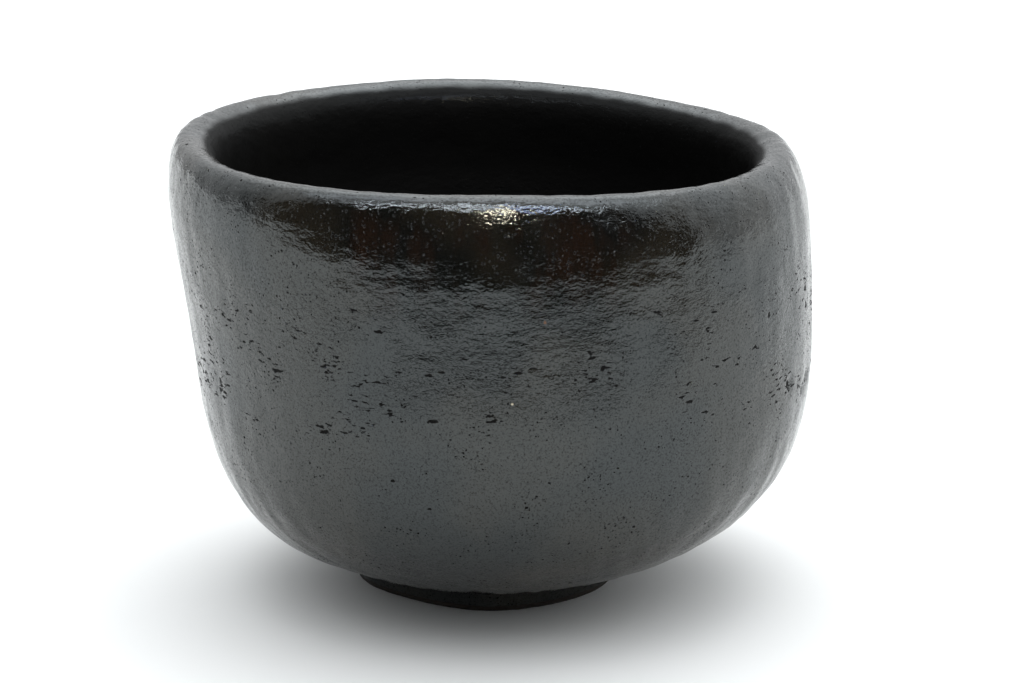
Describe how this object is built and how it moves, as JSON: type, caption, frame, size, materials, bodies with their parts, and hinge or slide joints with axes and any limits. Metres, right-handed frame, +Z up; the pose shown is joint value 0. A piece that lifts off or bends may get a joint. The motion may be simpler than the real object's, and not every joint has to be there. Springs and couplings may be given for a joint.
{
  "type": "matcha tea bowl",
  "caption": "Hand-formed raku tea bowl with a thick upright wall, a soft inturned lip, a low carved foot ring and a gloss black glaze, slightly out of round.",
  "frame": {"origin": "on the table under the middle of the bowl's own box; the foot ring's centre is 1.2 mm from it towards -X", "axes": "+Z up out of the mouth, +X to the right and -Y towards the viewer when the bowl's front faces them; the widest way across is X"},
  "size_m": [0.1193, 0.1136, 0.0857],
  "materials": {
    "black_raku_glaze": "gloss black raku glaze with an orange-peel surface and fine pinholes",
    "dark_raku_clay": "bare dark fired clay, dry and slightly sandy"
  },
  "bodies": {
    "root": {"clay_body": "dark_raku_clay", "foot_ring": "dark_raku_clay", "outer_glaze": "black_raku_glaze", "inner_glaze": "black_raku_glaze", "well_glaze": "black_raku_glaze"}
  },
  "joints": []
}
